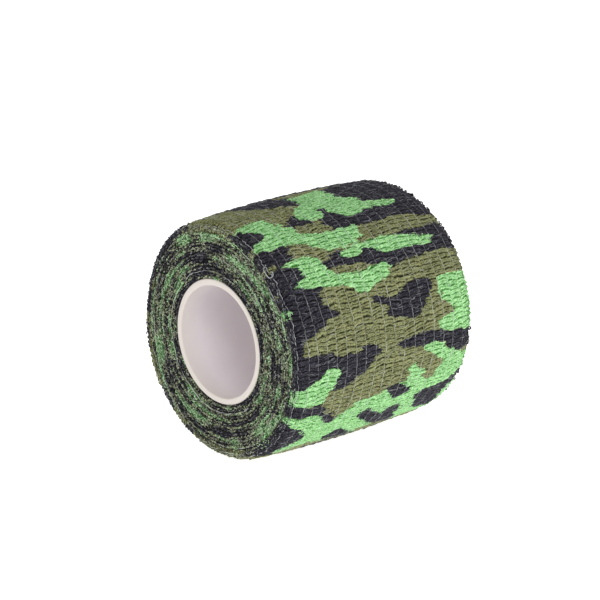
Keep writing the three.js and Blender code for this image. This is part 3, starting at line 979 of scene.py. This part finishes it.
def core_corner(radius, towards, end):
    """One rounded corner of the wall's section, from its end to its side."""
    quarter = np.linspace(0, math.pi / 2, CORNER_STEPS)
    sign = math.copysign(1, end)
    return [(radius + towards * CORE_EASE * (1 - math.sin(a)), end - sign * CORE_EASE * (1 - math.cos(a)))
            for a in quarter]


def make_core():
    """The drawn plastic tube: rounded rims, and a bore that wavers a little."""
    end = CORE_HALF_LENGTH
    along = np.linspace(-end + CORE_EASE, end - CORE_EASE, WALL_STEPS)
    section = [(CORE_OUTER, y) for y in along]
    section += core_corner(CORE_OUTER, -1, end)[::-1]
    section += core_corner(CORE_INNER, 1, end)
    section += [(CORE_INNER, y) for y in -along]
    section += core_corner(CORE_INNER, 1, -end)[::-1]
    section += core_corner(CORE_OUTER, -1, -end)
    section = [p for k, p in enumerate(section) if k == 0 or math.dist(p, section[k - 1]) > 0.02]
    section = np.array(section)
    degrees = np.linspace(0, 360, CORE_SIDES, endpoint=False)
    d, r = np.meshgrid(degrees, section[:, 0], indexing="ij")
    _, y = np.meshgrid(degrees, section[:, 1], indexing="ij")
    inside = r < (CORE_INNER + CORE_OUTER) / 2
    r = r + np.where(inside, CORE_WAVER * signed_noise(d / 30, y / 14, 900, wrap=12), 0)
    shape = Shape()
    # The rim value places the painted shade at each end of the tube.
    look = {"rim": np.clip((np.abs(y) - end + RIM_PAINTED_SHADE_BAND[0]) / RIM_PAINTED_SHADE_BAND[1], 0, 1)}
    shape.add(around(d, r, y), grid_faces(len(degrees), len(section), True, True)[:, ::-1], look)
    place(shape.make("core", CORE_PLASTIC), "core_plastic", "core_tube")


# ---- the free tail

THINNEST_TAIL = 0.22
RAGGED_END = 2.0  # degrees


def add_tail_web(shape, first, last):
    """A length of the tail: its outer and inner face, and its cut edges."""
    degrees, y = strip_grid(first, last, -EDGE_Y, EDGE_Y)
    if last == TAIL_END:
        ragged = 0.18 * signed_noise(y[0] / 0.7, 0 * y[0], 701)
        ragged = ragged + 0.12 * signed_noise(y[0] / 0.3, 0 * y[0], 702)
        near_end = np.clip(1 - (last - degrees) / RAGGED_END, 0, 1)
        degrees = degrees + near_end * ragged / MM_PER_DEGREE
    radius, look = strip_surface(y, degrees)
    under = np.minimum(strip_radius(y, degrees) - TAIL_THICKNESS, radius - THINNEST_TAIL)
    points = np.concatenate([around(degrees, radius, y), around(degrees, under, y)[:, ::-1]], axis=1)
    look = {key: np.concatenate([value, value[:, ::-1]], axis=1) for key, value in look.items()}
    rows, columns = points.shape[:2]
    j = np.arange(columns // 2 - 1)
    near_cap = np.stack([j, columns - 1 - j, columns - 2 - j, j + 1], axis=1)
    far_cap = near_cap[:, ::-1] + (rows - 1) * columns
    shape.add(points, np.concatenate([grid_faces(rows, columns, False, True), near_cap, far_cap]), look)


def make_tail_piece(number, first, last):
    """A length of the tail with its threads, in place of its CAD tail segment."""
    shape = Shape()
    add_tail_web(shape, first, last)
    add_fibres(shape, first, last)
    for side in (-1, 1):
        add_rim_loops(shape, first, last, side)
    for index in range(len(THREAD_Y)):
        add_thread(shape, index, first, last, slot=1)
    piece = shape.make(f"tail_{number}", PRINTED_WEB, THREAD)
    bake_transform(piece)
    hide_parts(f"tail_segment_{number}")


def make_tail():
    """The pieces of the tail, which meet in the middle of each hinged segment."""
    cuts = [TAIL_START] + [h + SEGMENT_ANGLE / 2 for h in HINGE_ANGLES[:-1]] + [TAIL_END]
    for number, (first, last) in enumerate(zip(cuts, cuts[1:]), start=1):
        make_tail_piece(number, first, last)


# ---- studio

CAMERA_AZIMUTH = 48.71
CAMERA_ELEVATION = 18.71
CAMERA_DISTANCE = 0.6
CAMERA_LENS = 170.2
CAMERA_SHIFT = (-0.0143, 0.0275)
SKY = 0.42
FLOOR_GLOW = 0.92
FLOOR_GREYS = ((0.70, 0.70, 0.70, 1), (0.72, 0.72, 0.72, 1))
FLOOR_REACH = 3.0  # metres each way


def make_camera():
    a, e = math.radians(CAMERA_AZIMUTH), math.radians(CAMERA_ELEVATION)
    back = Vector((math.sin(a) * math.cos(e), -math.cos(a) * math.cos(e), math.sin(e)))
    camera = bpy.data.objects.new("camera", bpy.data.cameras.new("camera"))
    bpy.context.scene.collection.objects.link(camera)
    camera.location = Vector((0, 0, AXIS_HEIGHT * MM)) + back * CAMERA_DISTANCE
    camera.rotation_mode = "QUATERNION"
    camera.rotation_quaternion = (-back).to_track_quat("-Z", "Y")
    camera.data.lens = CAMERA_LENS
    camera.data.sensor_width = 36
    camera.data.shift_x, camera.data.shift_y = CAMERA_SHIFT
    camera.data.clip_start, camera.data.clip_end = 0.01, 20
    bpy.context.scene.camera = camera


def area_light(name, position, size, power):
    """A white lamp that faces the middle of the roll."""
    light = bpy.data.lights.new(name, "AREA")
    light.size, light.energy = size, power
    obj = bpy.data.objects.new(name, light)
    obj.location = position
    obj.rotation_mode = "QUATERNION"
    ahead = Vector((0, 0, AXIS_HEIGHT * MM)) - Vector(position)
    obj.rotation_quaternion = ahead.to_track_quat("-Z", "Y")
    bpy.context.scene.collection.objects.link(obj)


def make_floor():
    """A pale floor that glows, so that the roll casts hardly any shadow."""
    g = Graph("floor")
    g.put((1, 1, 1, 1), g.shader.inputs["Emission Color"])
    g.put(FLOOR_GLOW, g.shader.inputs["Emission Strength"])
    g.finish(g.mix(g.spread(g.grain(60.0, 2.0), *GRAIN_RANGE), *FLOOR_GREYS), roughness=0.9)
    corners = [(x * FLOOR_REACH, y * FLOOR_REACH, 0) for x, y in ((-1, -1), (1, -1), (1, 1), (-1, 1))]
    mesh = bpy.data.meshes.new("floor")
    mesh.from_pydata(corners, [], [(0, 1, 2, 3)])
    mesh.materials.append(g.material)
    floor = bpy.data.objects.new("floor", mesh)
    bpy.context.scene.collection.objects.link(floor)


def make_studio():
    area_light("key", (0.62, -0.42, 0.66), size=0.45, power=3.6)
    area_light("fill", (-0.45, -0.85, 0.35), size=0.7, power=1.0)
    area_light("back", (0.50, 0.85, 0.30), size=0.6, power=4.2)
    world = bpy.data.worlds.new("studio")
    world.use_nodes = True
    colour, strength = world.node_tree.nodes["Background"].inputs[:2]
    colour.default_value = (1, 1, 1, 1)
    strength.default_value = SKY
    bpy.context.scene.world = world
    bpy.context.scene.view_settings.view_transform = "Standard"


# ---- build

make_camera()
make_floor()
make_studio()
make_core()
make_end_face(-1, "winding_front")
make_end_face(1, "winding_back")
make_face_threads()
make_outer_turn()
make_threads()
make_tail()
